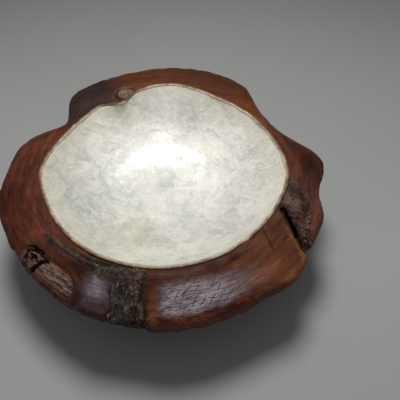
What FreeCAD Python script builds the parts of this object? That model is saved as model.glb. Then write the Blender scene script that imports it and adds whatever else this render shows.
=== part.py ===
import FreeCAD, Part
import math
import os
import random

Vec = FreeCAD.Vector

# A live-edge bowl cut from one block of root wood. The hollow is lined with
# flakes of capiz shell set in a thin bed. Sizes are in millimetres.
# The origin is the middle of the foot, +Z is up and -Y is the side with the
# wide band of bark. Azimuths are degrees counter-clockwise from +X.

# The whole block
LIP_Z = 92.0            # flat band round the lining
EDGE_R = 158.0          # mean radius of the live edge
OPENING_R = 114.0       # mean radius of the lining at the lip
FOOT_R = 60.0           # flat foot
CAVITY_DEPTH = 46.0     # lip to the middle of the lining
CAVITY_POWER = 3.8      # how flat the middle of the hollow is
EDGE_DROP = 15.0        # mean fall from the lip to the live edge
EDGE_DROP_TILT = 10.0   # extra fall on the -Y side, less on the +Y side
CROWN_RISE = 6.0        # how far the block rose above the sawn band
RING_POINTS = 72

# Layers and seams
FLAKE_THICKNESS = 0.7
BED_THICKNESS = 0.7
FLAKE_GAP = 0.45
FLAKE_COUNT = 48
FLAKE_JITTER = 4.5
FLAKE_SEED = 7
FILLER_INNER = -1.1     # edges of the filler line, out from the opening
FILLER_OUTER = 2.6
FILLER_DEPTH = 1.5      # the filler sits on top of the bed and the flakes
FILLER_RISE = 0.5       # and stands this much above the lip
BARK_THICKNESS = 8.0
BARK_SINK = 2.0         # bark lies this much below the wood beside it

# Lobes and waists: (height, azimuth, half width in degrees, power)
EDGE_SHAPE = [
    (-27.0, 32.5, 19.0, 3.0),
    (-31.0, 149.0, 9.5, 2.0),
    (-7.0, 352.0, 4.3, 2.0),
    (6.0, 318.0, 10.0, 2.0),
    (6.0, 193.0, 12.5, 2.0),
    (7.5, 7.0, 7.0, 2.0),
    (1.5, 85.0, 25.0, 2.0),
    (4.0, 340.0, 6.0, 2.0),
    (3.0, 134.0, 6.0, 2.0),
]
OPENING_SHAPE = [
    (8.0, 90.0, 17.0, 2.0),
    (-11.0, 119.0, 8.0, 2.0),
    (-4.5, 150.0, 18.0, 2.0),
    (4.5, 354.0, 18.0, 2.0),
    (-2.5, 50.0, 22.0, 2.0),
    (4.5, 184.0, 14.0, 2.0),
]

# The underside is part of an ellipse between these angles, in degrees
UNDERSIDE_ANGLES = [24, 34, 44, 54, 64, 73, 82, 90]
# The top of the rim is a flattened quarter oval, from the live edge up
SHOULDER_ANGLES = [14, 30, 46, 61, 76]
SHOULDER_POWER = 1.3    # 2 is a true ellipse, 1 a straight slope
SHOULDER_START = 6.0    # the oval's top lies this far inside the opening
HOLLOW_STEPS = [0.10, 0.25, 0.42, 0.58, 0.72, 0.84, 0.94, 1.02, 1.08]

# Sawn facet right of the front, and the cleft beside it
FACET_AZIMUTH = 313.0
FACET_RADIUS = 119.0
FACET_SLOPE = 25.0
FACET_OUTLINE = [(-30.0, -6.0), (-40.0, 70.0), (16.0, 74.0), (33.0, 35.0), (51.0, -6.0)]
CLEFT_INNER = (121.0, 334.5)
CLEFT_OUTER = (166.0, 322.6)
CLEFT_WIDTH = (3.0, 3.5)
CLEFT_BEVEL = (3.0, 3.5)    # bevel on the facet's side of the cleft
CLEFT_START = (1.0, 21.0)   # depth of the facet where the bevel starts
CLEFT_DEPTH = (6.0, 40.0)

# Bark left in the rim: (height where it ends, outline in plan as radius and azimuth)
BARK_PATCHES = {
    "bark_front": (40.0, [(119, 242), (117, 255), (117, 264), (132, 265), (148, 266.5), (176, 268.5),
                          (178, 262), (176, 255), (152, 252), (138, 249)]),
    "bark_left": (66.0, [(150, 215), (141, 219), (138, 229), (144, 240.5), (151, 241.5),
                         (154, 232), (156, 221)]),
    "bark_right": (52.0, [(117, 345), (118, 338), (130, 330.5), (150, 325.7), (163, 323.2), (158, 331),
                          (147, 338), (132, 344)]),
}

KNOT_RADIUS = 116.0
KNOT_AZIMUTH = 114.0
KNOT_HALF_SIZES = (11.5, 9.0)
KNOT_DEPTH = 14.0


def bumps(shape, azimuth):
    """Sum of the smooth lobes and waists in shape at an azimuth."""
    total = 0.0
    for height, centre, half_width, power in shape:
        away = (azimuth - centre + 180.0) % 360.0 - 180.0
        total += height * math.exp(-abs(away / half_width) ** power)
    return total


def edge_radius(azimuth):
    return EDGE_R + bumps(EDGE_SHAPE, azimuth)


def opening_radius(azimuth):
    return OPENING_R + bumps(OPENING_SHAPE, azimuth)


def edge_height(azimuth):
    return LIP_Z - EDGE_DROP + EDGE_DROP_TILT * math.sin(math.radians(azimuth))


def polar(radius, azimuth, z):
    angle = math.radians(azimuth)
    return Vec(radius * math.cos(angle), radius * math.sin(angle), z)


def closed_wire(points):
    """Smooth closed wire through the points."""
    curve = Part.BSplineCurve()
    curve.interpolate(Points=points, PeriodicFlag=True)
    return Part.Wire([curve.toShape()])


def ring(radius_of, height_of):
    """Closed row of points whose radius and height are functions of the azimuth."""
    step = 360.0 / RING_POINTS
    return [polar(radius_of(i * step), i * step, height_of(i * step)) for i in range(RING_POINTS)]


def solid_through(rings):
    """Solid with a smooth skin guided by the rings and flat ends on the first and last."""
    poles = [[row[i] for row in rings] for i in range(RING_POINTS)]
    spans = len(rings) - 3
    skin = Part.BSplineSurface()
    skin.buildFromPolesMultsKnots(
        poles, [1] * (RING_POINTS + 1), [4] + [1] * (spans - 1) + [4],
        list(range(RING_POINTS + 1)), list(range(spans + 1)), True, False, 3, 3)
    side = skin.toShape()
    ends = [edge for edge in side.Edges if edge.isClosed() and edge.BoundBox.ZLength < 0.001]
    shell = Part.makeShell([side] + [Part.Face(Part.Wire([edge])) for edge in ends])
    shell.sewShape()
    solid = Part.makeSolid(shell)
    if solid.Volume < 0:
        solid.reverse()
    return solid


def block(inset):
    """The whole block before hollowing, its skin taken back by inset."""
    rings = []
    first = math.radians(UNDERSIDE_ANGLES[0])
    for degrees in UNDERSIDE_ANGLES:
        turn = math.radians(degrees)
        out = (math.sin(turn) - math.sin(first)) / (1.0 - math.sin(first))
        up = 1.0 - math.cos(turn) / math.cos(first)
        rings.append(ring(
            lambda a: FOOT_R + out * (edge_radius(a) - inset - FOOT_R),
            lambda a: up * (edge_height(a) - 0.3 * inset)))
    for degrees in SHOULDER_ANGLES:
        turn = math.radians(degrees)
        out = math.cos(turn) ** (2.0 / SHOULDER_POWER)
        up = math.sin(turn) ** (2.0 / SHOULDER_POWER)
        rings.append(ring(
            lambda a: (1.0 - out) * (opening_radius(a) - SHOULDER_START) + out * (edge_radius(a) - inset),
            lambda a: (1.0 - up) * edge_height(a) + up * (LIP_Z + CROWN_RISE) - inset * (0.3 + 0.7 * up)))
    for share in (0.85, 0.3):
        rings.append(ring(lambda a: share * OPENING_R, lambda a: LIP_Z + CROWN_RISE - inset))
    return solid_through(rings)


def hollow(offset):
    """The space inside the bowl, its wall moved into the wood by offset."""
    rings = []
    for share in HOLLOW_STEPS:
        slope = math.atan(CAVITY_POWER * CAVITY_DEPTH / OPENING_R * share ** (CAVITY_POWER - 1.0))
        z = LIP_Z - CAVITY_DEPTH * (1.0 - share ** CAVITY_POWER) - offset * math.cos(slope)
        rings.append(ring(
            lambda a: share * (OPENING_R + share ** 8 * (opening_radius(a) - OPENING_R))
            + offset * math.sin(slope),
            lambda a: z))
    return solid_through(rings)


def prism(wire, height):
    return Part.Face(wire).extrude(Vec(0, 0, height))


def facet_cutter():
    """Everything above the sawn facet."""
    out = polar(1.0, FACET_AZIMUTH, 0.0)
    along = polar(1.0, FACET_AZIMUTH + 90.0, 0.0)
    slope = math.radians(FACET_SLOPE)
    downhill = out * math.cos(slope) - Vec(0, 0, math.sin(slope))
    normal = out * math.sin(slope) + Vec(0, 0, math.cos(slope))
    start = polar(FACET_RADIUS, FACET_AZIMUTH, LIP_Z)
    corners = [start + along * u + downhill * v for u, v in FACET_OUTLINE]
    return Part.Face(Part.makePolygon(corners + corners[:1])).extrude(normal * 40.0)


def cleft_cutter():
    """V-shaped cleft that opens and deepens towards the live edge."""
    inner = polar(*CLEFT_INNER, LIP_Z)
    outer = polar(*CLEFT_OUTER, LIP_Z)
    along = (outer - inner).normalize()
    side = Vec(0, 0, 1).cross(along)
    wires = []
    sizes = zip((inner, outer), CLEFT_WIDTH, CLEFT_BEVEL, CLEFT_START, CLEFT_DEPTH)
    for end, width, bevel, start, depth in sizes:
        corners = [
            end + side * width + Vec(0, 0, 12),
            end - side * bevel + Vec(0, 0, 12),
            end - side * bevel - Vec(0, 0, start),
            end + side * 0.6 * width - Vec(0, 0, depth),
        ]
        wires.append(Part.makePolygon(corners + corners[:1]))
    return Part.makeLoft(wires, True, True)


def knot_cutter():
    """Oval plug standing upright in the rim."""
    knot = Part.Ellipse(Vec(0, 0, 0), *KNOT_HALF_SIZES)
    plug = prism(Part.Wire([knot.toShape()]), KNOT_DEPTH + 10.0)
    plug.rotate(Vec(0, 0, 0), Vec(0, 0, 1), KNOT_AZIMUTH + 90.0)
    plug.translate(polar(KNOT_RADIUS, KNOT_AZIMUTH, LIP_Z - KNOT_DEPTH))
    return plug


def filler_ring():
    """Line of filler laid round the lip, over the ends of the lining."""
    base = LIP_Z - FILLER_DEPTH
    outer = closed_wire(ring(lambda a: opening_radius(a) + FILLER_OUTER, lambda a: base))
    inner = closed_wire(ring(lambda a: opening_radius(a) + FILLER_INNER, lambda a: base))
    height = FILLER_DEPTH + FILLER_RISE
    return prism(outer, height).cut(prism(inner, height))


def flake_sites():
    """Middles of the flakes: an even spiral with a little disorder."""
    scatter = random.Random(FLAKE_SEED)
    sites = []
    for i in range(FLAKE_COUNT):
        radius = OPENING_R * math.sqrt((i + 0.5) / FLAKE_COUNT)
        angle = math.radians(137.508 * i)
        sites.append((
            radius * math.cos(angle) + scatter.uniform(-FLAKE_JITTER, FLAKE_JITTER),
            radius * math.sin(angle) + scatter.uniform(-FLAKE_JITTER, FLAKE_JITTER)))
    return sites


def trim(polygon, nx, ny, limit):
    """The part of the polygon where nx * x + ny * y <= limit."""
    kept = []
    for i, (x0, y0) in enumerate(polygon):
        x1, y1 = polygon[(i + 1) % len(polygon)]
        d0 = nx * x0 + ny * y0 - limit
        d1 = nx * x1 + ny * y1 - limit
        if d0 <= 0:
            kept.append((x0, y0))
        if d0 * d1 < 0:
            share = d0 / (d0 - d1)
            kept.append((x0 + share * (x1 - x0), y0 + share * (y1 - y0)))
    return kept


def flake_outline(site, others):
    """The area nearer to this site than to any other, less half a gap."""
    reach = OPENING_R + 20.0
    polygon = [(-reach, -reach), (reach, -reach), (reach, reach), (-reach, reach)]
    for other in others:
        dx = other[0] - site[0]
        dy = other[1] - site[1]
        away = math.hypot(dx, dy)
        middle = (dx * (site[0] + other[0]) + dy * (site[1] + other[1])) / (2.0 * away)
        polygon = trim(polygon, dx / away, dy / away, middle - 0.5 * FLAKE_GAP)
    return polygon


def largest(shape):
    """The one solid of a boolean result, without crumbs."""
    return max(shape.Solids, key=lambda solid: solid.Volume)


os.makedirs("parts", exist_ok=True)

below_lip = Part.makeBox(500, 500, LIP_Z, Vec(-250, -250, 0))
below_filler = Part.makeBox(500, 500, LIP_Z - FILLER_DEPTH, Vec(-250, -250, 0))

shell_face = hollow(0.0)
bed_face = hollow(FLAKE_THICKNESS)
wood_face = hollow(FLAKE_THICKNESS + BED_THICKNESS)
filler = filler_ring()
whole = block(0.0).common(below_lip).cut(facet_cutter()).cut(cleft_cutter())
rim = whole.cut(wood_face).cut(filler)
bark_top = block(BARK_SINK)
bark_base = block(BARK_SINK + BARK_THICKNESS)

nodes = {}
knot = knot_cutter()
nodes["rim_knot"] = largest(rim.common(knot))
wood = rim.cut(knot)

for name, (floor, outline) in BARK_PATCHES.items():
    wire = closed_wire([polar(radius, azimuth, floor) for radius, azimuth in outline])
    pocket = prism(wire, 100.0).cut(bark_base)
    nodes[name] = largest(rim.common(pocket).common(bark_top).cut(knot))
    wood = wood.cut(pocket)
nodes["wood_body"] = largest(wood)

nodes["lip_filler"] = largest(filler)
nodes["shell_bed"] = largest(wood_face.cut(bed_face).common(below_filler))

shell = bed_face.cut(shell_face).common(below_filler)
sites = flake_sites()
for i, site in enumerate(sites):
    outline = flake_outline(site, sites[:i] + sites[i + 1:])
    corners = [Vec(x, y, 0.0) for x, y in outline]
    flake = shell.common(prism(Part.makePolygon(corners + corners[:1]), 150.0))
    nodes["shell_flake_%02d" % (i + 1)] = largest(flake)

for name, solid in nodes.items():
    solid.exportStep("parts/%s.step" % name)
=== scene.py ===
import math
from types import SimpleNamespace

import bpy
import bmesh
import numpy as np
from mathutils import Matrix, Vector
from mathutils.bvhtree import BVHTree


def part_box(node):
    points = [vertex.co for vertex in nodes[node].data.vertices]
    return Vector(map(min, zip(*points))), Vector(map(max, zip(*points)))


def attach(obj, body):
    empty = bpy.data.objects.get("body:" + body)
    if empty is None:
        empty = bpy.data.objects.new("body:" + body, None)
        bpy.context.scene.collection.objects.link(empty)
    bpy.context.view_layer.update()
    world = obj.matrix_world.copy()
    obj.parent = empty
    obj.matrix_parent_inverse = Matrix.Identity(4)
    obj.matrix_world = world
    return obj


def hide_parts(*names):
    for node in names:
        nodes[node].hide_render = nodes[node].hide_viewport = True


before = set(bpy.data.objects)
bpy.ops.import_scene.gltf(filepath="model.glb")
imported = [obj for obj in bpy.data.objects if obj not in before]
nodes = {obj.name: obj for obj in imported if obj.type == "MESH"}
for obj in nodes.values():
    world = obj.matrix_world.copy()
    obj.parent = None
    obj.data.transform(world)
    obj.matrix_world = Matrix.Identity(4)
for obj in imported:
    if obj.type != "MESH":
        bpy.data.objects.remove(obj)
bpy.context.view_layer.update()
MM = 0.001  # one millimetre in metres
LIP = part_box("lip_filler")[1].z - 0.0005  # height of the opening's lip, in metres
FLAKES = sorted(n for n in nodes if n.startswith("shell_flake_"))


# ---------------------------------------------------------------- numbers and noise

def lattice(ix, iy, iz, seed):
    h = (ix * 374761393 + iy * 668265263 + iz * 1274126177 + seed * 974711) & 0xFFFFFFFF
    h = ((h ^ (h >> 13)) * 1274126177) & 0xFFFFFFFF
    h = ((h ^ (h >> 15)) * 668265263) & 0xFFFFFFFF
    return ((h ^ (h >> 16)) & 0xFFFFFF) / 16777215.0


def noise(p, seed=0):
    """Smooth value noise from -1 to 1 at the points p, which are counted in noise cells."""
    base = np.floor(p).astype(np.int64)
    f = p - base
    f = f * f * f * (f * (f * 6 - 15) + 10)
    total = np.zeros(len(p))
    for dx in (0, 1):
        wx = f[:, 0] if dx else 1 - f[:, 0]
        for dy in (0, 1):
            wy = f[:, 1] if dy else 1 - f[:, 1]
            for dz in (0, 1):
                wz = f[:, 2] if dz else 1 - f[:, 2]
                total += wx * wy * wz * lattice(base[:, 0] + dx, base[:, 1] + dy, base[:, 2] + dz, seed)
    return total * 2 - 1


def fractal(p, octaves=4, seed=0, gain=0.5):
    """Several layers of noise, each half the size of the last, about -1 to 1."""
    total = np.zeros(len(p))
    size = 1.0
    weight = 0.0
    for i in range(octaves):
        total += size * noise(p * 2.0 ** i + 17.3 * i, seed + i)
        weight += size
        size *= gain
    return total / weight


def ridges(p, octaves=3, seed=0):
    """Sharp crests on a smooth ground, 0 to 1."""
    total = np.zeros(len(p))
    size = 1.0
    weight = 0.0
    for i in range(octaves):
        total += size * (1 - np.abs(noise(p * 2.0 ** i + 9.1 * i, seed + i))) ** 3
        weight += size
        size *= 0.55
    return total / weight


def step(low, high, x):
    """0 below low, 1 above high and a smooth rise between; falls instead when low is above high."""
    t = np.clip((x - low) / (high - low), 0, 1)
    return t * t * (3 - 2 * t)


def turn(azimuth, centre):
    """Signed angle from centre, in degrees."""
    return (azimuth - centre + 180) % 360 - 180


def hill(azimuth, radius, centre, at_radius, half_turn, half_radius):
    """A round bump in plan, 1 at its top."""
    return np.exp(-(turn(azimuth, centre) / half_turn) ** 2 - ((radius - at_radius) / half_radius) ** 2)


def polar(co):
    """Azimuth in degrees and radius in millimetres about the upright axis."""
    return np.degrees(np.arctan2(co[:, 1], co[:, 0])) % 360, np.hypot(co[:, 0], co[:, 1]) * 1000


def outward(azimuth):
    """Unit vectors in plan that point away from the axis."""
    return np.stack([np.cos(np.radians(azimuth)), np.sin(np.radians(azimuth))], 1)


def line_gap(co, points):
    """Distance in plan, in millimetres, to a line through points of (radius mm, azimuth)."""
    flat = co[:, :2] * 1000
    corners = [np.array([r * math.cos(math.radians(a)), r * math.sin(math.radians(a))]) for r, a in points]
    found = np.full(len(flat), 1e9)
    for a, b in zip(corners, corners[1:]):
        way = b - a
        t = np.clip(((flat - a) @ way) / (way @ way), 0, 1)
        found = np.minimum(found, np.hypot(*(flat - a - t[:, None] * way).T))
    return found


def pull_in(co):
    """Notch in the outline by the right lobe's tip, with the corner of the facet drawn toward the lobe."""
    azimuth, radius = polar(co)
    depth = 5.5 * hill(azimuth, radius, 325.3, 161, 2.0, 12) - 2.0 * hill(azimuth, radius, 314.0, 166, 5.0, 10)
    high = step(0.35, 0.6, co[:, 2] / LIP)
    at = (radius - depth * high) * MM
    lean = 2.0 * np.exp(-(turn(azimuth, 321.5) / 6.5) ** 2) * step(120, 156, radius) * high
    way = np.radians(azimuth + lean)
    return np.column_stack([at * np.cos(way), at * np.sin(way), co[:, 2]])


# ---------------------------------------------------------------- meshes

def new_object(name, data):
    obj = bpy.data.objects.new(name, data)
    bpy.context.scene.collection.objects.link(obj)
    return obj


def coords(mesh):
    co = np.zeros(len(mesh.vertices) * 3)
    mesh.vertices.foreach_get("co", co)
    return co.reshape(-1, 3)


def normals(mesh):
    no = np.zeros(len(mesh.vertices) * 3)
    mesh.vertices.foreach_get("normal", no)
    return no.reshape(-1, 3)


def place(mesh, co):
    mesh.vertices.foreach_set("co", np.ascontiguousarray(co, dtype=np.float32).ravel())
    mesh.update()


def shade(obj):
    obj.data.polygons.foreach_set("use_smooth", [True] * len(obj.data.polygons))


def put(name, values, obj):
    """Stores one number for each vertex, for the materials to read."""
    layer = obj.data.attributes.new(name, "FLOAT", "POINT")
    layer.data.foreach_set("value", np.ascontiguousarray(values, dtype=np.float32))


def paint(colours, obj):
    """Stores a base colour for each vertex."""
    colours = np.clip(colours, 0.002, 1)
    layer = obj.data.attributes.new("paint", "FLOAT_COLOR", "POINT")
    layer.data.foreach_set("color", np.column_stack([colours, np.ones(len(colours))]).astype(np.float32).ravel())


def blend(under, share, colour):
    """Mixes a colour over the painted colours by share."""
    return under + (np.asarray(colour) - under) * np.clip(share, 0, 1)[:, None]


def tree_over(node):
    """A search tree over a CAD node's surface."""
    bm = bmesh.new()
    bm.from_mesh(nodes[node].data)
    tree = BVHTree.FromBMesh(bm)
    bm.free()
    return tree


def gap_to(co, node, limit=0.012):
    """Distance in millimetres from each point to a CAD node's surface, up to the limit in metres."""
    tree = tree_over(node)
    low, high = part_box(node)
    low = np.array(low) - limit
    high = np.array(high) + limit
    found = np.full(len(co), limit * 1000)
    for i in np.where(((co > low) & (co < high)).all(1))[0]:
        hit = tree.find_nearest(Vector(co[i]), limit)
        if hit[3] is not None:
            found[i] = hit[3] * 1000
    return found


def settle(obj):
    """Applies the modifiers."""
    bpy.context.view_layer.update()
    made = bpy.data.meshes.new_from_object(obj.evaluated_get(bpy.context.evaluated_depsgraph_get()))
    obj.modifiers.clear()
    obj.data = made


def remeshed(name, sources, voxel, rounds=2):
    """A new even mesh over the joined CAD nodes."""
    bm = bmesh.new()
    for source in sources:
        bm.from_mesh(nodes[source].data)
    mesh = bpy.data.meshes.new(name)
    bm.to_mesh(mesh)
    bm.free()
    obj = new_object(name, mesh)
    mod = obj.modifiers.new("even", "REMESH")
    mod.mode = "VOXEL"
    mod.voxel_size = voxel
    mod.adaptivity = 0
    mod = obj.modifiers.new("relax", "SMOOTH")
    mod.factor = 0.5
    mod.iterations = rounds
    settle(obj)
    return obj


# ---------------------------------------------------------------- the plan of the rim

def profile_by_azimuth(node, pick):
    """Radius of a node's outline, in millimetres, for every degree of azimuth."""
    azimuth, radius = polar(coords(nodes[node].data))
    found = np.full(360, np.nan)
    for i in range(360):
        near = np.abs(turn(azimuth, i)) < 2.5
        if near.any():
            found[i] = pick(radius[near])
    known = np.where(~np.isnan(found))[0]
    return np.interp(np.arange(360), known, found[known], period=360)


INNER = profile_by_azimuth("lip_filler", np.min)
EDGE = profile_by_azimuth("wood_body", np.max)


def inner_at(azimuth):
    return np.interp(azimuth, np.arange(360), INNER, period=360)


def edge_at(azimuth):
    return np.interp(azimuth, np.arange(360), EDGE, period=360)


def across_rim(azimuth, radius):
    """0 at the lining's lip, 1 at the outer edge."""
    return (radius - inner_at(azimuth)) / (edge_at(azimuth) - inner_at(azimuth))


def left_cracks(co):
    """Deep cracks at the upper end of the left bark, 0 to 1."""
    upper = line_gap(co, [(158, 220.3), (152, 218.4), (146, 217.4), (142, 219.5), (140.5, 223.0), (141.5, 226.8)])
    lower = line_gap(co, [(161, 222.8), (152, 223.8), (145, 225.0), (141, 226.5)])
    between = line_gap(co, [(150, 221.3), (147.5, 220.0), (145.5, 221.5), (147, 223.2)]) + 0.6
    near = np.minimum(upper, np.minimum(lower, between))
    return step(2.5, 0.9, near + 1.1 * fractal(co * 1000 / 3.5, 2, 141))


def lobe_curl(co):
    """A small dark curl in the bark at the right lobe's tip, 0 to 1."""
    ring = np.abs(line_gap(co, [(152.5, 328.0), (155, 327.3)]) - 2.8 + 0.9 * fractal(co * 1000 / 5, 2, 151))
    return step(1.4, 0.4, ring) * step(0.5, 0.7, co[:, 2] / LIP)


def cleft_shade(co):
    """Painted shade at the inner end of the cleft, 0 to 1."""
    near = line_gap(co, [(120, 335.3), (131, 332.5), (141, 329.8)])
    return step(4.6, 2.2, near + 1.2 * fractal(co * 1000 / 5, 2, 153)) * step(0.5, 0.7, co[:, 2] / LIP)


# ---------------------------------------------------------------- wood

FACET_SLOPE = math.radians(25)  # how far the sawn facet leans from level
FACET_WAY = math.radians(313)  # the azimuth it leans toward
FACET_NORMAL = np.array([math.sin(FACET_SLOPE) * math.cos(FACET_WAY),
                         math.sin(FACET_SLOPE) * math.sin(FACET_WAY), math.cos(FACET_SLOPE)])


def soften(obj, weights, rounds):
    """Relaxes the mesh where the weights are high."""
    group = obj.vertex_groups.new(name="soft")
    levels = np.round(np.clip(weights, 0, 1) * 8).astype(int)
    for level in range(1, 9):
        group.add(np.where(levels == level)[0].tolist(), level / 8, "REPLACE")
    mod = obj.modifiers.new("soften", "SMOOTH")
    mod.factor = 0.5
    mod.iterations = rounds
    mod.vertex_group = "soft"
    settle(obj)
    obj.vertex_groups.clear()


def bare_front(azimuth, radius):
    """Where the front bark gives way to the bulge on its left."""
    return step(255.0, 252.6, azimuth + 1.0 * np.sin(radius / 3.5)) * step(127, 134, radius)


def wood_mesh():
    """The wood with its sharp tool edges relaxed, apart from the sawn facet and the lip."""
    # the wood carries on under the bark, so that the bark can thin out to nothing over it
    obj = remeshed("bowl_wood", ["wood_body", "bark_front", "bark_left", "bark_right"], 1.2 * MM, 3)
    co = coords(obj.data)
    azimuth, radius = polar(co)
    share = across_rim(azimuth, radius)
    sawn = step(296, 301, azimuth) * step(344, 338, azimuth) * step(0.5, 0.6, co[:, 2] / LIP)
    soften(obj, step(0.06, 0.2, share) * (1 - sawn) * (1 - 0.75 * step(0.86, 0.95, share)), 20)
    return obj


def wood_regions(obj):
    """Where each vertex lies: lengths in millimetres, azimuth in degrees, the regions from 0 to 1."""
    w = SimpleNamespace(co=coords(obj.data), no=normals(obj.data))
    w.azimuth, w.radius = polar(w.co)
    w.mm = w.co * 1000
    w.share = across_rim(w.azimuth, w.radius)
    w.outside = np.clip(step(0.02, 0.10, w.share) + step(0.0, -0.5, w.no[:, 2]) * step(3, 8, w.mm[:, 2]), 0, 1)
    w.top = step(-0.1, 0.35, w.no[:, 2]) * step(0.03, 0.10, w.share)
    w.low = step(0.1, -0.3, w.no[:, 2])
    w.facet = (step(0.955, 0.985, w.no @ FACET_NORMAL) * step(297, 302, w.azimuth) * step(336, 331, w.azimuth)
               * w.top)
    w.front = gap_to(w.co, "bark_front") + 6.0 * bare_front(w.azimuth, w.radius)
    w.left = gap_to(w.co, "bark_left")
    w.right = gap_to(w.co, "bark_right")
    w.wander = fractal(w.mm / 7, 3, 91)

    # bark-like skin that spreads from the bark on to the wood, and a strip along the lip
    strip = np.clip(1.5 * hill(w.azimuth, w.radius, 238, 124.5, 11, 4.0)
                    + 1.1 * hill(w.azimuth, w.radius, 224, 129, 8, 3.6)
                    + 0.5 * w.wander - 0.1, 0, 1)
    strip = strip * step(258, 250, w.azimuth) * step(207, 214, w.azimuth) * w.top
    near_front = step(3.4, 0.3, w.front + 2.4 * w.wander - 2.5 * hill(w.azimuth, w.radius, 246, 124, 6, 8))
    near_right = (0.8 * step(9.0, 2.0, w.right + 4.0 * w.wander) * step(334, 340, w.azimuth)
                  * step(0.80, 0.60, w.share))
    w.barky = np.clip(strip + np.maximum(near_front, near_right) * w.outside, 0, 1)

    # crests of the bark-like skin: along the lip in the strip, and outward beyond it
    along_lip = np.column_stack([w.radius / 2.6, w.azimuth * 2.4 / 13, w.mm[:, 2] / 2.6])
    along_lip = ridges(along_lip + 0.5 * w.wander[:, None], 3, 31)
    across_lip = np.column_stack([w.azimuth * 2.4 / 3.2, (w.radius - w.mm[:, 2]) / 14, 0 * w.radius])
    across_lip = ridges(across_lip + 0.6 * w.wander[:, None], 3, 33)
    lean = step(126, 132, w.radius)
    w.crest = along_lip * (1 - lean) + across_lip * lean
    w.lobe = step(331, 337, w.azimuth) * step(362, 350, w.azimuth) * w.top
    w.knobs = ridges(np.column_stack([w.mm[:, 0] / 3.2, w.mm[:, 1] / 6.0, w.mm[:, 2] / 4]), 2, 37)
    w.crack = step(0.9, 0.3, line_gap(w.co, [(111, 321.4), (122, 319.0), (135, 316.6)]) + 0.3 * w.wander) * w.top
    w.curl = lobe_curl(w.co)
    w.deep = left_cracks(w.co) * w.top
    return w


def wood_relief(w):
    """How far the surface stands out from the CAD surface, in millimetres."""
    d = 0.9 * fractal(w.mm / 36, 3, 3) + 0.25 * fractal(w.mm / 10, 2, 11)
    d *= 1 - 0.85 * w.facet
    d += w.low * 1.8 * fractal(w.mm / 46, 3, 21)
    # the bulge beside the front bark, with a groove on its left
    d += 5.0 * hill(w.azimuth, w.radius, 249.0, 143, 4.4, 11) * w.top
    d -= 3.0 * hill(w.azimuth, w.radius, 240.5, 144, 3.2, 10) * step(3.0, 6.0, w.left) * w.top
    # swells and hollows of the rim: (height, azimuth, radius, half turn, half radius)
    for height, *place_at in ((1.6, 226, 134, 12, 5), (-1.6, 229, 147, 15, 10), (1.5, 281, 140, 9, 16),
                              (-1.4, 292, 126, 6, 7)):
        d += height * hill(w.azimuth, w.radius, *place_at) * w.top
    d -= 2.4 * hill(w.azimuth, w.radius, 300, 161, 2.0, 4)
    # knobbly margin along the outer edge, most at the front and left
    margin = hill(0, w.share, 0, 0.95, 1, 0.09)
    d += margin * (1.0 + step(200, 215, w.azimuth) * step(304, 298, w.azimuth)) * fractal(w.mm / 8, 3, 23)
    d += w.barky * (2.2 * w.crest - 1.2)
    d += w.lobe * (1.2 * w.knobs - 0.5) * step(1.0, 0.55, w.share)
    d -= 0.9 * w.crack + 1.6 * w.curl + 2.6 * w.deep
    return d


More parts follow.
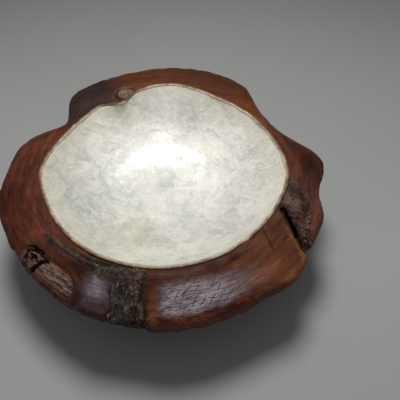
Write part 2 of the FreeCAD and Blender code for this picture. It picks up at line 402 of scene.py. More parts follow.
def wood_colours(w, co):
    """Painted base colours; w holds the regions and co the final places of the vertices."""
    azimuth, radius, share, top, wander = w.azimuth, w.radius, w.share, w.top, w.wander
    mm = co * 1000
    tone = fractal(mm / 30, 3, 201)
    streak = fractal(np.column_stack([outward(azimuth) * 3.6, radius / 4.0]), 3, 203)
    fleck = fractal(mm / 6, 3, 205)
    cloud = 1 + 0.35 * fractal(mm / 8, 3, 207)
    # reddish brown with lighter and darker streaks
    c = np.tile(np.array([0.073, 0.0165, 0.0072]), (len(co), 1))
    c = blend(c, 0.75 * step(0.05, 0.45, tone + 0.4 * streak), (0.115, 0.031, 0.012))
    c = blend(c, 0.70 * step(-0.05, -0.5, tone + 0.5 * streak), (0.030, 0.0085, 0.0060))
    c = blend(c, 0.20 * step(0.1, 0.6, fleck), (0.14, 0.040, 0.014))
    c *= (1 + 0.30 * streak)[:, None]
    # warmer far rim, and a greyish patch beyond the knot: a painted reflection in the lacquer
    far = step(28, 48, azimuth) * step(124, 108, azimuth)
    c = blend(c, 0.9 * far * (0.8 + 0.4 * streak), (0.134, 0.034, 0.0035))
    painted_grey_reflection = step(154, 146, azimuth) * step(114, 124, azimuth)
    c = blend(c, 0.85 * painted_grey_reflection * step(1.0, 0.80, share), (0.030, 0.0165, 0.0135))
    # sawn facet, and a painted highlight on its bevel by the cleft
    c = blend(c, 0.7 * step(300, 306, azimuth) * step(334, 330, azimuth) * top, (0.100, 0.038, 0.0175))
    c = blend(c, 0.5 * w.facet * step(0.0, 0.5, streak), (0.150, 0.056, 0.022))
    to_corner = np.abs(turn(azimuth, 331.5 - (radius - 125) * 0.27)) * radius * math.pi / 180
    painted_bevel_highlight = step(9.0, 5.0, to_corner) * step(0.3, 0.5, share)
    c = blend(c, 0.6 * painted_bevel_highlight * top * step(330, 327, azimuth), (0.20, 0.078, 0.026))
    # dark band at the front lip
    front_lip = step(0.36, 0.22, share) * step(266, 269, azimuth) * step(300, 294, azimuth)
    c = blend(c, 0.9 * front_lip * top, (0.050, 0.015, 0.008))
    # painted sheen: a pale grey-purple highlight painted on the front rim and on the bulge, in place of the lamp's
    # reflection in the lacquer
    front_painted_sheen = np.clip(1.4 * hill(azimuth, radius, 281.5, 144, 14, 14), 0, 1) * step(0.26, 0.44, share + 0.05 * wander)
    front_painted_sheen *= step(266.5, 276, azimuth + 3.0 * wander) * step(0.92, 0.74, share + 0.08 * wander)
    c = blend(c, 0.95 * front_painted_sheen * cloud * top, (0.385, 0.345, 0.370))
    # painted sheen on the bulge
    bulge_painted_sheen = np.clip(1.2 * hill(azimuth, radius, 248.5, 142, 5.0, 9), 0, 1)
    c = blend(c, 0.85 * bulge_painted_sheen * cloud * top, (0.215, 0.190, 0.225))
    # painted shade in the groove left of the bulge and a painted highlight on the ridge beyond it, and the brown
    # strip right of the front bark
    c = blend(c, 0.85 * hill(azimuth, radius, 243, 151, 3.6, 12) * top, (0.024, 0.0095, 0.0065))
    c = blend(c, 0.6 * hill(azimuth, radius, 233, 137, 9, 4) * top, (0.120, 0.034, 0.015))
    strip_brown = (step(266.4, 267.6, azimuth + wander) * step(271.5, 269.0, azimuth + 1.5 * wander)
                   * step(0.35, 0.7, share))
    c = blend(c, 0.75 * strip_brown * top, (0.190, 0.072, 0.025))
    # painted shade: the rounded outer edge and the downward-facing underside are painted darker
    c = blend(c, 0.75 * step(0.91, 1.01, share + 0.07 * fleck), (0.044, 0.0160, 0.0115))
    c = blend(c, 0.7 * w.low, (0.036, 0.0105, 0.0055))
    # the right lobe, and the wood round the left bark
    c = blend(c, 0.7 * w.lobe, (0.135, 0.050, 0.033))
    c = blend(c, 0.5 * w.lobe * step(0.55, 0.3, w.knobs), (0.052, 0.025, 0.018))
    c = blend(c, 0.5 * step(3.5, 0.5, w.left + 2.0 * wander) * w.outside, (0.070, 0.028, 0.018))
    # cracks and the curl, dark in themselves and painted near black for the shade inside them, and painted shade
    # at the inner end of the cleft
    c = blend(c, 0.8 * w.crack, (0.014, 0.006, 0.004))
    c = blend(c, 1.3 * w.deep, (0.005, 0.003, 0.002))
    c = blend(c, 0.9 * w.curl, (0.012, 0.008, 0.006))
    c = blend(c, 0.9 * cleft_shade(co) * step(0.08, 0.02, w.facet), (0.010, 0.006, 0.004))
    c *= 1.12
    c = blend(c, 0.6 * hill(azimuth, radius, 215, 137, 16, 12) * top, (0.095, 0.030, 0.019))
    # lighter and darker places: (amount, azimuth, radius, half turn, half radius)
    gain = 1
    for amount, *place_at in ((0.80, 216, 138, 15, 15), (1.3, 281, 161, 16, 10), (-0.20, 188, 140, 14, 30),
                              (-0.42, 88, 145, 40, 30), (-0.32, 62, 140, 20, 30), (0.45, 338, 150, 9, 14),
                              (-0.25, 2, 134, 10, 20), (-0.20, 125, 148, 10, 12), (0.42, 313, 134, 7, 18),
                              (0.45, 312, 158, 9, 10), (0.5, 300, 148, 8, 16)):
        gain = gain + amount * hill(azimuth, radius, *place_at)
    c *= gain[:, None]
    # the bark-like skin, pale on its crests and dark between them: partly its own colour, partly a painted
    # highlight on the crests and painted shade in the furrows
    c = blend(c, 0.95 * w.barky, (0.036, 0.026, 0.020))
    c = blend(c, 0.8 * w.barky * step(0.50, 0.72, w.crest), (0.125, 0.094, 0.070))
    c = blend(c, 0.8 * w.barky * step(0.36, 0.22, w.crest), (0.008, 0.005, 0.004))
    return c, front_painted_sheen, bulge_painted_sheen


def build_wood():
    obj = wood_mesh()
    w = wood_regions(obj)
    place(obj.data, pull_in(w.co + w.no * (wood_relief(w) * w.outside * MM)[:, None]))
    colours, front_painted_sheen, bulge_painted_sheen = wood_colours(w, coords(obj.data))
    paint(colours, obj)
    put("facet", w.facet, obj)
    put("barky", w.barky, obj)
    # the crackle lines lie in the painted sheen on the front rim
    put("crackle", np.clip(1.6 * front_painted_sheen, 0, 1) * w.top * (1 - w.barky), obj)
    put("lip", step(0.34, 0.20, w.share) * w.top, obj)
    # the painted sheen areas are a little rougher
    put("sheen", np.clip(front_painted_sheen + bulge_painted_sheen, 0, 1) * w.top, obj)
    shade(obj)
    return obj


# ---------------------------------------------------------------- bark and knot

KNOT_RADIUS = 10.5  # mm
FILLER_WIDTH = 3.7  # mm

BARKS = {
    # node: (voxel in m, fibre depth and rise in mm, seed, dark, middle and light colours)
    "bark_front": (0.6 * MM, 2.3, 0.5, 101,
                   (0.007, 0.0055, 0.0045), (0.058, 0.049, 0.042), (0.270, 0.252, 0.220)),
    "bark_left": (0.5 * MM, 0.9, 0.35, 131,
                  (0.030, 0.014, 0.010), (0.205, 0.085, 0.058), (0.330, 0.235, 0.200)),
    "bark_right": (0.5 * MM, 1.7, 0.8, 161,
                   (0.012, 0.008, 0.006), (0.110, 0.060, 0.042), (0.210, 0.150, 0.115)),
}


def build_bark(node):
    """Fibrous bark that sinks under the wood at its border."""
    voxel, depth, rise, seed, dark, middle, light = BARKS[node]
    obj = remeshed(node + "_skin", [node], voxel, 2)
    co = coords(obj.data)
    no = normals(obj.data)
    azimuth, radius = polar(co)
    mm = co * 1000
    facing = np.clip(no[:, 2] * 0.9 + (no[:, :2] * outward(azimuth)).sum(1) * 0.8, 0, 1)
    open_skin = step(0.2, 0.6, facing)
    border = gap_to(co, "wood_body")
    wave = fractal(mm / 9, 3, seed + 5)
    if node == "bark_left":
        # fibres follow the rim
        fibres = ridges(np.column_stack([radius / 3.0 + 0.8 * wave, azimuth * 2.5 / 12, mm[:, 2] / 3.0]), 3, seed)
    else:
        # fibres run out from the lip and down the side
        fibres = ridges(np.column_stack([azimuth * 2.5 / 3.0 + 1.1 * wave, (radius - mm[:, 2]) / 19 + 0.3 * wave,
                                         0 * radius]), 3, seed)
    plates = ridges(mm / 9.0 + 0.5 * wave[:, None], 2, seed + 9)
    relief = 0.85 * fibres + 0.15 * plates
    d = depth * (2.0 * relief - 1.0) + rise
    fall = 0.9 if node == "bark_left" else 1.4
    d -= (rise + fall + 1.2 * fractal(mm / 5, 2, seed + 21)) * step(2.6, 0.2, border)
    tint = np.tile(np.array(middle), (len(co), 1))
    if node == "bark_left":
        # mostly smooth, with cracks at the upper end and one rough stripe
        stripe = step(7.5, 2.5, line_gap(co, [(145, 227), (145, 232), (147, 237), (150, 240)]) + 1.8 * wave)
        cracks = hill(azimuth, radius, 221.5, 147, 4.0, 8)
        rough = np.clip(1.2 * stripe + 1.3 * cracks, 0, 1) * step(0.6, 3.0, border)
        deep = left_cracks(co)
        d = d * (0.35 + 0.65 * rough) - 3.6 * deep
        tint = blend(tint, 0.8 * stripe, (0.180, 0.120, 0.102))
        tint = blend(tint, 0.7 * cracks, (0.045, 0.022, 0.016))
        edging = step(4.5, 0.6, border + 2.0 * wave) * step(0.0, 0.5, 1 - cracks)
        tint = blend(tint, 0.85 * edging, (0.105, 0.034, 0.020))
        # pale crests and dark furrows: partly the bark's own colour, partly a painted highlight on the crests and
        # painted shade in the furrows
        tint = blend(tint, rough * 0.7 * step(0.55, 0.76, relief), light)
        tint = blend(tint, (0.1 + 0.6 * rough) * step(0.42, 0.28, relief), dark)
        # the deep cracks, dark in themselves and painted near black for the shade inside them
        tint = blend(tint, 1.5 * deep, (0.004, 0.003, 0.002))
    else:
        rough = step(-0.15, 0.25, fractal(mm / 16, 2, seed + 31))
        # pale crests and dark furrows: partly the bark's own colour, partly a painted highlight on the crests and
        # painted shade in the furrows
        tint = blend(tint, (0.35 + 0.6 * rough) * step(0.58, 0.76, relief), light)
        tint = blend(tint, (0.35 + 0.6 * rough) * step(0.46, 0.30, relief), dark)
    if node == "bark_right":
        curl = lobe_curl(co)
        d -= 1.8 * curl
        # the curl, dark in itself and painted near black for the shade inside it
        tint = blend(tint, 0.9 * curl, (0.008, 0.006, 0.005))
        # painted shade at the inner end of the cleft
        tint = blend(tint, 0.8 * cleft_shade(co), (0.012, 0.008, 0.006))
        tint = blend(tint, 0.5 * step(4.0, 0.5, np.abs(radius - 121)), (0.075, 0.066, 0.056))
    if node == "bark_front":
        d -= 5.0 * bare_front(azimuth, radius)
        brown = step(260.5, 263.5, azimuth + 1.5 * wave)
        tint = blend(tint, 0.55 * brown, (0.085, 0.038, 0.020))
    d = d * open_skin - 1.5 * (1 - open_skin)
    place(obj.data, pull_in(co + no * (d * MM)[:, None]))
    paint(tint, obj)
    shade(obj)
    return obj


def build_knot():
    """A low knot with rings that rise and fall round its centre."""
    obj = remeshed("rim_knot_skin", ["rim_knot"], 0.5 * MM, 2)
    co = coords(obj.data)
    no = normals(obj.data)
    mm = co * 1000
    low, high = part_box("rim_knot")
    centre = np.array([(low.x + high.x) / 2, (low.y + high.y) / 2]) * 1000
    away = np.hypot(mm[:, 0] - centre[0], mm[:, 1] - centre[1])
    top = step(0.3, 0.8, no[:, 2])
    waves = np.sin(away * 2.3 + 2.2 * fractal(mm / 5, 2, 41))
    d = 0.25 * waves + 1.0 * fractal(mm / 4, 3, 43) + 0.5 - 1.8 * step(0.72, 1.0, away / KNOT_RADIUS)
    place(obj.data, co + no * (d * top * MM)[:, None])
    put("away", away, obj)
    put("waves", waves, obj)
    shade(obj)
    return obj


# ---------------------------------------------------------------- filler line

def build_filler():
    """The filler line, uneven as it was spread by hand."""
    obj = remeshed("filler_line", ["lip_filler"], 0.45 * MM, 3)
    co = coords(obj.data)
    azimuth, radius = polar(co)
    mm = co * 1000
    out = np.column_stack([outward(azimuth), np.zeros(len(co))])
    side = (radius - inner_at(azimuth)) / FILLER_WIDTH * 2 - 1  # -1 by the shell, 1 by the wood
    shift = 0.7 * fractal(mm / 14, 3, 51)
    spread = 0.5 * fractal(mm / 5, 3, 52) * side
    lift = 0.22 * fractal(mm / 9, 3, 53) * step(-0.4, 0.2, mm[:, 2] - LIP * 1000)
    move = out * (shift + spread)[:, None]
    move[:, 2] += lift
    place(obj.data, co + move * MM)
    put("side", side, obj)
    shade(obj)
    return obj


# ---------------------------------------------------------------- shell flakes

AROUND = 96  # vertices round a flake
RINGS = 15  # rings of vertices from its centre to its edge
OVERLAP = 2.2 * MM  # how far a flake reaches over its neighbours, give or take RAGGED
RAGGED = 1.2 * MM
FLAKE_RISE = 0.7 * MM  # of a flake's face over its bed
LIP_MARGIN = 1.2 * MM  # the flakes stay this far below the lip
EDGE_THICKNESS = 0.9 * MM


def convex(points):
    """Convex hull, counter-clockwise."""
    points = sorted(map(tuple, np.round(points, 7)))

    def half(items):
        chain = []
        for p in items:
            while len(chain) > 1:
                (x0, y0), (x1, y1) = chain[-2], chain[-1]
                if (x1 - x0) * (p[1] - y0) - (y1 - y0) * (p[0] - x0) <= 0:
                    chain.pop()
                else:
                    break
            chain.append(p)
        return chain[:-1]

    return np.array(half(points) + half(reversed(points)))


def reach(points, centre, directions):
    """Distance from the centre to the flake's convex outline along each direction."""
    hull = convex(points[:, :2] - centre[:2])
    found = np.zeros(len(directions))
    for i, direction in enumerate(directions):
        best = 1e9
        for a, b in zip(hull, np.roll(hull, -1, axis=0)):
            edge = b - a
            normal = np.array([edge[1], -edge[0]])
            normal /= np.linalg.norm(normal) + 1e-12
            toward = normal @ direction
            if toward > 1e-9:
                best = min(best, (normal @ a) / toward)
        found[i] = best
    return found


def flake_faces():
    """A fan at the centre, rings of quads, and a skirt with its own upper row."""
    turns = [(i, (i + 1) % AROUND) for i in range(AROUND)]
    faces = [(0, 1 + i, 1 + j) for i, j in turns]
    for k in range(RINGS - 1):
        a = 1 + k * AROUND
        b = a + AROUND
        faces += [(a + i, b + i, b + j, a + j) for i, j in turns]
    a = 1 + RINGS * AROUND
    b = a + AROUND
    faces += [(a + i, b + i, b + j, a + j) for i, j in turns]
    return faces


def build_flake(node, index, bed, chance):
    """A thin curved flake that lies on the bed, a little tilted, with an uneven edge over its neighbours."""
    points = coords(nodes[node].data)
    centre = (points.max(0) + points.min(0)) / 2
    angles = np.linspace(0, 2 * math.pi, AROUND, endpoint=False)
    directions = np.stack([np.cos(angles), np.sin(angles)], 1)
    ragged = np.column_stack([directions * 2.2, np.full(AROUND, index * 3.7)])
    far = reach(points, centre, directions) + OVERLAP + RAGGED * fractal(ragged * 3, 3, 61)
    tilt = chance.uniform(-1, 1, 2) * 0.008
    lift = chance.uniform(-0.03, 0.14) * MM
    steps = [math.sqrt(k / RINGS) for k in range(1, RINGS + 1)]
    flat = [centre[:2]]
    for s in steps:
        flat.extend(centre[:2] + directions * (far * s)[:, None])
    verts = []
    for x, y in flat:
        hit = bed.ray_cast(Vector((x, y, LIP + 0.05)), Vector((0, 0, -1)))
        if hit[0] is None or hit[0].z > LIP - LIP_MARGIN:
            z = LIP - LIP_MARGIN
        else:
            z = hit[0].z + FLAKE_RISE
        verts.append((x, y, z + lift + tilt[0] * (x - centre[0]) + tilt[1] * (y - centre[1])))
    verts = np.array(verts)
    base = len(verts)
    last = base - AROUND
    verts[last:, 2] -= 0.12 * MM
    under = verts[last:].copy()
    under[:, 2] -= EDGE_THICKNESS
    verts = np.vstack([verts, verts[last:], under])
    mm = verts * 1000
    # growth of the shell: rings about an umbo outside the flake, and rays from it
    heading = chance.uniform(0, 2 * math.pi)
    umbo = centre[:2] * 1000 + np.array([math.cos(heading), math.sin(heading)]) * chance.uniform(14, 30)
    rel = mm[:, :2] - umbo
    ray = np.arctan2(rel[:, 1], rel[:, 0])
    wave = fractal(np.column_stack([mm[:, :2] / 11, np.full(len(mm), index * 5.1)]), 3, 71)
    verts[:base + AROUND, 2] += 0.22 * MM * wave[:base + AROUND]
    mesh = bpy.data.meshes.new(node + "_skin")
    mesh.from_pydata(verts.tolist(), [], flake_faces())
    obj = new_object(node + "_skin", mesh)
    azimuth, radius = polar(verts)
    put("growth", np.hypot(rel[:, 0], rel[:, 1]), obj)
    put("ray_x", np.cos(ray), obj)
    put("ray_y", np.sin(ray), obj)
    put("tone", np.full(len(verts), chance.uniform(0, 1)), obj)
    put("away", radius / np.maximum(inner_at(azimuth), 1), obj)
    put("edge", np.concatenate([[0], np.repeat(steps, AROUND), np.ones(2 * AROUND)]), obj)
    shade(obj)
    return obj


# ---------------------------------------------------------------- materials

class Graph:
    """A material's nodes, added one call at a time."""

    def __init__(self, name):
        self.material = bpy.data.materials.new(name)
        self.material.use_nodes = True
        self.tree = self.material.node_tree
        self.shader = self.tree.nodes["Principled BSDF"]

    def add(self, kind, inputs=None, out=0, **settings):
        node = self.tree.nodes.new(kind)
        for key, value in settings.items():
            setattr(node, key, value)
        for key, value in (inputs or {}).items():
            self.plug(node, key, value)
        return node.outputs[out]

    def plug(self, node, key, value):
        socket = node.inputs[key]
        if isinstance(value, bpy.types.NodeSocket):
            self.tree.links.new(value, socket)
        else:
            socket.default_value = value

    def math(self, operation, a, b=0.0, c=0.0):
        node = self.tree.nodes.new("ShaderNodeMath")
        node.operation = operation
        for i, value in enumerate((a, b, c)):
            self.plug(node, i, value)
        return node.outputs[0]

    def attribute(self, name):
        return self.add("ShaderNodeAttribute", out=2, attribute_name=name)

    def where(self):
        return self.add("ShaderNodeNewGeometry", out=0)

    def paint(self):
        """The colours painted on the mesh."""
        return self.add("ShaderNodeAttribute", out=0, attribute_name="paint")

    def scaled(self, vector, scale):
        return self.add("ShaderNodeVectorMath", {0: vector, 1: scale}, operation="MULTIPLY")

    def plus(self, a, b):
        return self.add("ShaderNodeVectorMath", {0: a, 1: b}, operation="ADD")

    def dot(self, a, b):
        return self.add("ShaderNodeVectorMath", {0: a, 1: b}, out=1, operation="DOT_PRODUCT")

    def part(self, vector, axis):
        return self.add("ShaderNodeSeparateXYZ", {0: vector}, out=axis)

    def upright(self, value):
        return self.add("ShaderNodeCombineXYZ", {2: value})

    def product(self, a, b):
        return self.math("MULTIPLY", a, b)

    def noise(self, vector, scale, detail=3.0, rough=0.55, w=None, distortion=0.0):
        inputs = {"Vector": vector, "Scale": scale, "Detail": detail, "Roughness": rough, "Distortion": distortion}
        if w is not None:
            inputs["W"] = w
        return self.add("ShaderNodeTexNoise", inputs, noise_dimensions="3D" if w is None else "4D")

    def ramp(self, value, stops):
        node = self.tree.nodes.new("ShaderNodeValToRGB")
        band = node.color_ramp
        while len(band.elements) < len(stops):
            band.elements.new(0.5)
        for element, (position, colour) in zip(band.elements, stops):
            element.position = position
            element.color = (*colour, 1) if not isinstance(colour, float) else (colour, colour, colour, 1)
        self.tree.links.new(value, node.inputs["Fac"])
        return node.outputs["Color"]

    def mix(self, share, a, b, how="MIX"):
        node = self.tree.nodes.new("ShaderNodeMix")
        node.data_type = "RGBA"
        node.blend_type = how
        self.plug(node, 0, share)
        for key, value in ((6, a), (7, b)):
            self.plug(node, key, value if isinstance(value, bpy.types.NodeSocket) else (*value, 1))
        return node.outputs[2]

    def times(self, share, colour, factor):
        """The colour multiplied by a factor, by share."""
        return self.mix(share, colour, factor, "MULTIPLY")

    def stretch(self, value, a, b, c, d):
        """value from the range a..b to the range c..d, held inside it."""
        node = self.tree.nodes.new("ShaderNodeMapRange")
        self.plug(node, 0, value)
        for i, v in enumerate((a, b, c, d)):
            node.inputs[i + 1].default_value = v
        return node.outputs[0]

    def bump(self, height, distance, strength=1.0, under=None):
        inputs = {"Height": height, "Distance": distance, "Strength": strength}
        if under is not None:
            inputs["Normal"] = under
        return self.add("ShaderNodeBump", inputs)

    def finish(self, obj, **values):
        for key, value in values.items():
            self.plug(self.shader, key.replace("_", " "), value)
        obj.data.materials.clear()
        obj.data.materials.append(self.material)


def around_axis(g):
    """Place, direction about the upright axis, radius and height: grain follows the rim."""
    where = g.where()
    flat = g.scaled(where, (1, 1, 0))
    direction = g.add("ShaderNodeVectorMath", {0: flat}, operation="NORMALIZE")
    radius = g.add("ShaderNodeVectorMath", {0: flat}, out=1, operation="LENGTH")
    return where, direction, radius, g.part(where, 2)


def crackle_lines(g, where, radius):
    """Fine checks in the lacquer: three families of short lines that cross each other."""
    wander = g.noise(where, 70.0, 2.0, 0.5)
    lines = None
    # (direction or None for rings, spacing in m, seed, share kept)
    families = ((1.01, 0.0048, 3.0, 1.0), (0.35, 0.0040, 7.0, 1.0), (None, 0.0032, 11.0, 0.5))
    for angle, spacing, seed, share in families:
        run = radius if angle is None else g.dot(where, (math.sin(angle), -math.cos(angle), 0))
        fold = g.math("PINGPONG", g.math("ADD", run, g.product(wander, 0.008)), spacing / 2)
        keep = g.stretch(g.noise(where, 130.0, 2.0, 0.5, w=seed), 0.45, 0.50, 0.0, share)
        line = g.product(g.stretch(fold, 0.00012, 0.00036, 1.0, 0.0), keep)
        lines = line if lines is None else g.math("MAXIMUM", lines, line)
    return g.product(lines, g.attribute("crackle"))


def wood_material():
    g = Graph("lacquered_root_wood")
    where, direction, radius, height = around_axis(g)
    grain_at = g.plus(g.scaled(direction, (11, 11, 11)), g.upright(g.product(height, 520.0)))
    grain = g.noise(grain_at, 1.0, 4.0, 0.6, w=g.product(radius, 700.0))
    band_at = g.plus(g.scaled(direction, (5, 5, 5)), g.upright(g.product(height, 90.0)))
    bands = g.noise(band_at, 1.0, 3.0, 0.5, w=g.product(radius, 230.0))
    blotches = g.noise(where, 75.0, 4.0, 0.6, distortion=0.5)
    pores = g.noise(where, 620.0, 3.0, 0.7)
    facet = g.attribute("facet")
    calm = g.stretch(facet, 0.0, 1.0, 1.0, 0.45)  # less grain on the sawn facet
    colour = g.paint()
    colour = g.times(g.stretch(bands, 0.46, 0.60, 0.0, 0.34), colour, (0.34, 0.28, 0.28))
    colour = g.times(g.stretch(bands, 0.46, 0.34, 0.0, 0.22), colour, (1.8, 1.7, 1.5))
    colour = g.times(g.product(calm, g.stretch(grain, 0.47, 0.60, 0.0, 0.55)), colour, (0.34, 0.28, 0.28))
    colour = g.times(g.stretch(blotches, 0.46, 0.70, 0.0, 0.35), colour, (2.0, 1.75, 1.5))
    colour = g.times(g.stretch(pores, 0.50, 0.64, 0.0, 0.34), colour, (0.40, 0.34, 0.34))
    colour = g.times(g.stretch(pores, 0.46, 0.34, 0.0, 0.35), colour, (1.7, 1.55, 1.4))
    barky = g.attribute("barky")
    specks = g.noise(where, 420.0, 3.0, 0.6)
    colour = g.times(g.product(barky, g.stretch(specks, 0.5, 0.72, 0.0, 0.6)), colour, (2.2, 2.1, 1.9))
    # straight saw marks across the facet
    turned = g.add("ShaderNodeVectorRotate", {"Vector": where, "Angle": -0.62}, rotation_type="Z_AXIS")
    marks = g.noise(g.scaled(turned, (14, 520, 40)), 1.0, 2.0, 0.5)
    colour = g.times(g.product(facet, g.stretch(marks, 0.56, 0.72, 0.0, 0.5)), colour, (1.9, 1.7, 1.5))
    lines = crackle_lines(g, where, radius)
    colour = g.mix(g.product(lines, 0.85), colour, (0.018, 0.012, 0.013))
    rough = g.stretch(g.noise(where, 45.0, 3.0, 0.6), 0.3, 0.7, 0.34, 0.46)
    for name, more in (("barky", 0.4), ("sheen", 0.05), ("lip", 0.3)):
        rough = g.math("ADD", rough, g.product(g.attribute(name), more))
    bumps = g.bump(grain, 0.0004, 0.4)
    bumps = g.bump(pores, 0.0003, 0.4, bumps)
    bumps = g.bump(bands, 0.0006, 0.25, bumps)
    bumps = g.bump(blotches, 0.0012, 0.30, bumps)
    bumps = g.bump(g.product(lines, -1.0), 0.0005, 0.5, bumps)
    bumps = g.bump(g.product(specks, barky), 0.0012, 0.7, bumps)
    return g, dict(Base_Color=colour, Roughness=rough, Normal=bumps, Specular_IOR_Level=0.14,
                   Coat_Weight=0.02, Coat_Roughness=0.2)


def bark_material():
    g = Graph("dark_bark")
    where = g.where()
    spots = g.noise(where, 330.0, 4.0, 0.65)
    patches = g.noise(where, 90.0, 3.0, 0.5)
    colour = g.times(g.stretch(patches, 0.45, 0.7, 0.0, 0.5), g.paint(), (1.5, 0.85, 0.6))
    colour = g.times(g.stretch(spots, 0.50, 0.72, 0.0, 0.45), colour, (2.1, 2.1, 2.0))
    colour = g.times(g.stretch(spots, 0.48, 0.30, 0.0, 0.4), colour, (0.3, 0.28, 0.26))
    bumps = g.bump(g.noise(where, 900.0, 3.0, 0.7), 0.0005, 0.6)
    bumps = g.bump(spots, 0.0009, 0.6, bumps)
    rough = g.stretch(spots, 0.3, 0.7, 0.75, 0.5)
    return g, dict(Base_Color=colour, Roughness=rough, Normal=bumps, Specular_IOR_Level=0.35)


def knot_material():
    g = Graph("pale_knot")
    where = g.where()
    away = g.attribute("away")
    waves = g.attribute("waves")
    spots = g.noise(where, 420.0, 4.0, 0.6)
    colour = g.ramp(spots, [(0.3, (0.060, 0.028, 0.014)), (0.6, (0.17, 0.096, 0.054))])
    colour = g.mix(g.stretch(waves, 0.2, 1.0, 0.0, 0.5), colour, (0.05, 0.022, 0.012))
    colour = g.mix(g.stretch(away, 7.6, 9.8, 0.0, 0.85), colour, (0.022, 0.010, 0.006))
    bumps = g.bump(spots, 0.0008, 0.7)
    return g, dict(Base_Color=colour, Roughness=g.stretch(spots, 0.3, 0.7, 0.5, 0.32), Normal=bumps,
                   Specular_IOR_Level=0.3)


def filler_material():
    g = Graph("ochre_filler")
    where = g.where()
    side = g.attribute("side")
    spots = g.noise(where, 260.0, 4.0, 0.65)
    patches = g.noise(where, 70.0, 3.0, 0.6)
    mixed = g.math("ADD", side, g.stretch(patches, 0.25, 0.75, -1.0, 1.0))
    colour = g.ramp(g.stretch(mixed, -1.0, 1.4, 0.0, 1.0),
                    [(0.15, (0.46, 0.40, 0.28)), (0.5, (0.22, 0.13, 0.065)), (0.85, (0.095, 0.038, 0.018))])
    colour = g.mix(g.stretch(spots, 0.5, 0.7, 0.0, 0.5), colour, (0.10, 0.055, 0.03))
    bumps = g.bump(spots, 0.0007, 0.6)
    return g, dict(Base_Color=colour, Roughness=g.stretch(spots, 0.3, 0.7, 0.5, 0.35), Normal=bumps,
                   Specular_IOR_Level=0.3)


def bed_material():
    g = Graph("cream_adhesive")
    where = g.where()
    spots = g.noise(where, 200.0, 3.0, 0.6)
    colour = g.ramp(spots, [(0.3, (0.50, 0.45, 0.33)), (0.7, (0.66, 0.62, 0.50))])
    rough = g.stretch(spots, 0.3, 0.7, 0.55, 0.4)
    return g, dict(Base_Color=colour, Roughness=rough, Normal=g.bump(spots, 0.0004, 0.5))


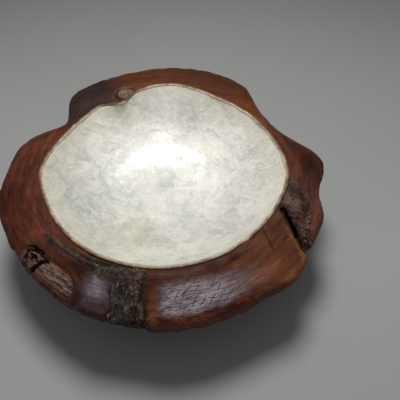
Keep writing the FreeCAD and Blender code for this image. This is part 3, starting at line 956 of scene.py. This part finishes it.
def shell_material():
    """Thin translucent shell: soft clouds, growth rings and rays, seams of the sheets below, and an old stain."""
    g = Graph("capiz_shell")
    where = g.where()
    growth = g.attribute("growth")
    ray_x = g.attribute("ray_x")
    ray_y = g.attribute("ray_y")
    tone = g.attribute("tone")

    def grown(turns, along, seed, detail, rough):
        """Noise in the flake's own polar frame: fine in turns for rays, fine along the growth for rings."""
        at = {0: g.product(ray_x, turns), 1: g.product(ray_y, turns), 2: g.product(growth, along)}
        return g.noise(g.add("ShaderNodeCombineXYZ", at), 1.0, detail, rough, w=g.product(tone, seed))

    rays = grown(30.0, 0.09, 40.0, 3.0, 0.6)
    rings = grown(2.2, 0.9, 30.0, 4.0, 0.62)
    clouds = g.noise(where, 42.0, 4.0, 0.55, distortion=0.6)
    mottle = g.noise(where, 130.0, 3.0, 0.6, distortion=0.8)
    # the sheets of the layer below show through, with pale seams
    push = g.add("ShaderNodeTexNoise", {"Vector": where, "Scale": 60.0}, out=1)
    warped = g.plus(where, g.scaled(push, (0.012, 0.012, 0.012)))
    under = g.add("ShaderNodeTexVoronoi", {"Vector": warped, "Scale": 34.0}, out=1)
    under = g.add("ShaderNodeSeparateColor", {"Color": under})
    seams = g.add("ShaderNodeTexVoronoi", {"Vector": warped, "Scale": 34.0}, feature="DISTANCE_TO_EDGE")
    # crinkled edges of the thin sheets, broken off here and there
    crinkles = g.add("ShaderNodeTexVoronoi", {"Vector": warped, "Scale": 95.0}, feature="DISTANCE_TO_EDGE")
    kept = g.stretch(g.noise(where, 55.0, 2.0, 0.5, w=4.0), 0.50, 0.58, 0.0, 1.0)
    crinkles = g.product(g.stretch(crinkles, 0.0, 0.06, 1.0, 0.0), kept)

    level = g.product(clouds, 0.5)
    for part, weight in ((tone, 0.20), (under, 0.20), (mottle, 0.16)):
        level = g.math("ADD", level, g.product(part, weight))
    colour = g.ramp(level, [(0.34, (0.50, 0.495, 0.45)), (0.52, (0.615, 0.60, 0.535)), (0.72, (0.72, 0.70, 0.61))])
    colour = g.mix(g.stretch(seams, 0.0, 0.026, 0.60, 0.0), colour, (0.83, 0.82, 0.76))
    colour = g.mix(g.product(crinkles, 0.40), colour, (0.84, 0.83, 0.77))
    # some sheets are thinner and let the grey through
    greyed = g.stretch(g.math("ADD", clouds, g.product(under, 0.25)), 0.62, 0.50, 0.06, 0.85)
    colour = g.mix(g.product(greyed, g.stretch(rings, 0.44, 0.62, 0.0, 0.55)), colour, (0.45, 0.455, 0.44))
    colour = g.mix(g.stretch(rays, 0.47, 0.66, 0.0, 0.45), colour, (0.84, 0.84, 0.80))
    colour = g.mix(g.stretch(mottle, 0.5, 0.66, 0.0, 0.50), colour, (0.82, 0.80, 0.73))
    colour = g.mix(g.product(greyed, g.stretch(mottle, 0.46, 0.30, 0.0, 0.4)), colour, (0.46, 0.47, 0.45))
    colour = g.mix(g.stretch(g.attribute("away"), 0.84, 0.99, 0.0, 0.45), colour, (0.74, 0.68, 0.54))
    colour = g.mix(g.stretch(g.attribute("edge"), 0.975, 1.0, 0.0, 0.35), colour, (0.46, 0.43, 0.34))
    # painted light and shade across the lining: the far side and the right wall are painted greyer, the near side
    # a little darker and the far flanks paler
    sides = g.dot(where, (3.0, 7.0, 0.0))
    colour = g.times(g.stretch(sides, 0.25, 0.85, 0.0, 0.4), colour, (0.86, 0.87, 0.88))
    colour = g.times(g.stretch(sides, 0.0, -0.5, 0.0, 1.0), colour, (0.95, 0.945, 0.92))
    across = g.stretch(g.math("ABSOLUTE", g.part(where, 0)), 0.02, 0.08, 0.0, 1.0)
    back = g.stretch(g.part(where, 1), 0.0, 0.06, 0.0, 1.0)
    colour = g.times(g.product(across, back), colour, (1.25, 1.25, 1.26))
    # an old stain low on the near side, and a few dark specks
    stain = g.add("ShaderNodeVectorMath", {0: where, 1: (-0.028, -0.058, 0.050)}, out=1, operation="DISTANCE")
    stain = g.stretch(g.math("ADD", stain, g.product(mottle, 0.030)), 0.020, 0.046, 0.40, 0.0)
    colour = g.mix(stain, colour, (0.60, 0.56, 0.36))
    specks = g.noise(where, 260.0, 2.0, 0.5)
    colour = g.mix(g.stretch(specks, 0.755, 0.80, 0.0, 0.7), colour, (0.20, 0.17, 0.09))
    rough = g.stretch(mottle, 0.3, 0.7, 0.22, 0.50)
    bumps = g.bump(rays, 0.00035, 0.5)
    bumps = g.bump(rings, 0.00045, 0.6, bumps)
    bumps = g.bump(g.math("ADD", clouds, g.product(under, 0.5)), 0.0042, 0.8, bumps)
    bumps = g.bump(mottle, 0.0009, 0.5, bumps)
    bumps = g.bump(crinkles, 0.0003, 0.5, bumps)
    return g, dict(Base_Color=colour, Roughness=rough, Normal=bumps, Coat_Weight=0.4, Coat_Roughness=0.16)


def dress(obj, made):
    """Puts a material on a piece."""
    g, values = made
    g.finish(obj, **values)


# ---------------------------------------------------------------- assembly

wood = build_wood()
dress(wood, wood_material())
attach(wood, "root")
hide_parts("wood_body")

bark = bark_material()
for node in BARKS:
    piece = build_bark(node)
    dress(piece, bark)
    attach(piece, "root")
    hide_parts(node)

knot = build_knot()
dress(knot, knot_material())
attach(knot, "root")
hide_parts("rim_knot")

filler = build_filler()
dress(filler, filler_material())
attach(filler, "root")
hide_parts("lip_filler")

g, values = bed_material()
g.finish(nodes["shell_bed"], **values)

shell = shell_material()
bed_top = tree_over("shell_bed")
chance = np.random.default_rng(5)
for index, node in enumerate(FLAKES):
    flake = build_flake(node, index, bed_top, chance)
    dress(flake, shell)
    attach(flake, "root")
    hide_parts(node)


# ---------------------------------------------------------------- studio

def floor_material():
    """Plain grey paper, painted darker toward the back: painted shade in place of the fall-off of the light."""
    g = Graph("studio_floor")
    where = g.where()
    soft = g.noise(where, 3.0, 2.0, 0.5)
    fine = g.noise(where, 900.0, 2.0, 0.5)
    colour = g.ramp(soft, [(0.3, (0.345, 0.340, 0.332)), (0.7, (0.365, 0.360, 0.352))])
    # painted shade toward the back
    colour = g.mix(g.stretch(g.part(where, 1), -0.05, 0.52, 0.0, 0.75), colour, (0.11, 0.11, 0.105))
    rough = g.stretch(fine, 0.3, 0.7, 0.7, 0.8)
    return g, dict(Base_Color=colour, Roughness=rough, Normal=g.bump(fine, 0.0002, 0.2))


def build_floor():
    bm = bmesh.new()
    bmesh.ops.create_grid(bm, x_segments=4, y_segments=4, size=4.0)
    mesh = bpy.data.meshes.new("floor")
    bm.to_mesh(mesh)
    bm.free()
    obj = new_object("floor", mesh)
    g, values = floor_material()
    g.finish(obj, **values)


def lamp(name, at, toward, size, watts, spread=180):
    """A soft round lamp; a small spread in degrees makes a narrow beam."""
    data = bpy.data.lights.new(name, "AREA")
    data.shape = "ELLIPSE"
    data.size, data.size_y = size
    data.energy = watts
    data.spread = math.radians(spread)
    obj = new_object(name, data)
    obj.location = at
    obj.rotation_mode = "QUATERNION"
    obj.rotation_quaternion = (Vector(toward) - Vector(at)).to_track_quat("-Z", "Y")


build_floor()
lamp("key", (-0.01, 0.34, 1.0), (0, 0, 0), (0.38, 0.38), 8.4)
lamp("front", (0.0, -0.10, 1.5), (0.01, 0.073, 0.055), (0.18, 0.18), 0.024, 7)

world = bpy.data.worlds.new("studio")
world.use_nodes = True
background = world.node_tree.nodes["Background"]
background.inputs["Color"].default_value = (0.75, 0.78, 0.8, 1)
background.inputs["Strength"].default_value = 0.245
bpy.context.scene.world = world

camera_data = bpy.data.cameras.new("camera")
camera_data.lens = 43.2
camera_data.sensor_width = 36.0
camera = new_object("camera", camera_data)
camera.location = (0.0350, -0.3157, LIP + 0.3477)
camera.rotation_euler = (math.radians(38), 0, 0)
bpy.context.scene.camera = camera
bpy.context.scene.view_settings.view_transform = "Standard"
